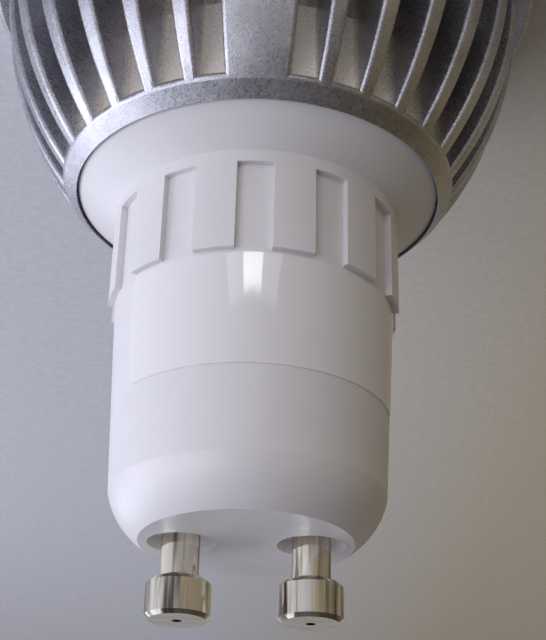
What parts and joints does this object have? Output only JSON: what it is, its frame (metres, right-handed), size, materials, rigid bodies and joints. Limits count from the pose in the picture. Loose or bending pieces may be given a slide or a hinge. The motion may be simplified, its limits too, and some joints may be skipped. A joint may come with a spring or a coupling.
{
  "type": "led spotlight bulb",
  "caption": "Reflector spotlight bulb with a finned bowl-shaped heat sink, a white moulded base with a toothed crown, and a two-pin twist-lock cap.",
  "frame": {"origin": "centre of the bezel's front face, the lamp standing on it", "axes": "+Z along the lamp's axis towards the contact pins; the pins lie on the X axis; one wide rib of the heat sink faces -Y"},
  "size_m": [0.05, 0.05, 0.061],
  "materials": {
    "cast_aluminium": "silver-painted casting, fine grain, satin",
    "bezel_aluminium": "silver-painted, satin",
    "white_plastic": "moulded, slightly glossy",
    "nickel": "bright nickel plate",
    "screw_steel": "zinc plated",
    "clear_lens": "polished clear moulding",
    "holder_plastic": "moulded, satin",
    "board_white": "white solder mask on a metal core",
    "emitter": "phosphor under a clear dome",
    "pad_grey": "soft sheet",
    "grommet_rubber": "matte",
    "board_green": "green solder mask",
    "ferrite": "sintered, dull",
    "bobbin_plastic": "moulded",
    "winding_tape": "yellow film tape",
    "can_sleeve": "shrink sleeve",
    "film_box": "potted box",
    "chip_black": "moulded epoxy",
    "choke_core": "ferrite drum, dull",
    "resistor_body": "lacquered",
    "wire_red": "insulation",
    "wire_black": "insulation",
    "wire_white": "insulation"
  },
  "bodies": {
    "root": {"heat_sink": "cast_aluminium", "front_bezel": "bezel_aluminium", "bezel_screws": "screw_steel", "lens_holder": "holder_plastic", "led_board": "board_white", "thermal_pad": "pad_grey", "board_screws": "screw_steel", "base_screws": "screw_steel", "wire_grommet": "grommet_rubber", "base_housing": "white_plastic", "contact_pin_left": "nickel", "contact_pin_right": "nickel", "driver_board": "board_green", "transformer_core": "ferrite", "transformer_bobbin": "bobbin_plastic", "transformer_winding": "winding_tape", "input_capacitor": "can_sleeve", "output_capacitor": "can_sleeve", "film_capacitor": "film_box", "bridge_rectifier": "chip_black", "control_ic": "chip_black", "filter_inductor": "choke_core", "fusible_resistor": "resistor_body", "output_diode": "chip_black", "live_wire": "wire_white", "neutral_wire": "wire_white", "led_wire_positive": "wire_red", "led_wire_negative": "wire_black", "lens_1": "clear_lens", "led_emitter_1": "emitter", "lens_2": "clear_lens", "led_emitter_2": "emitter", "lens_3": "clear_lens", "led_emitter_3": "emitter"}
  },
  "joints": []
}
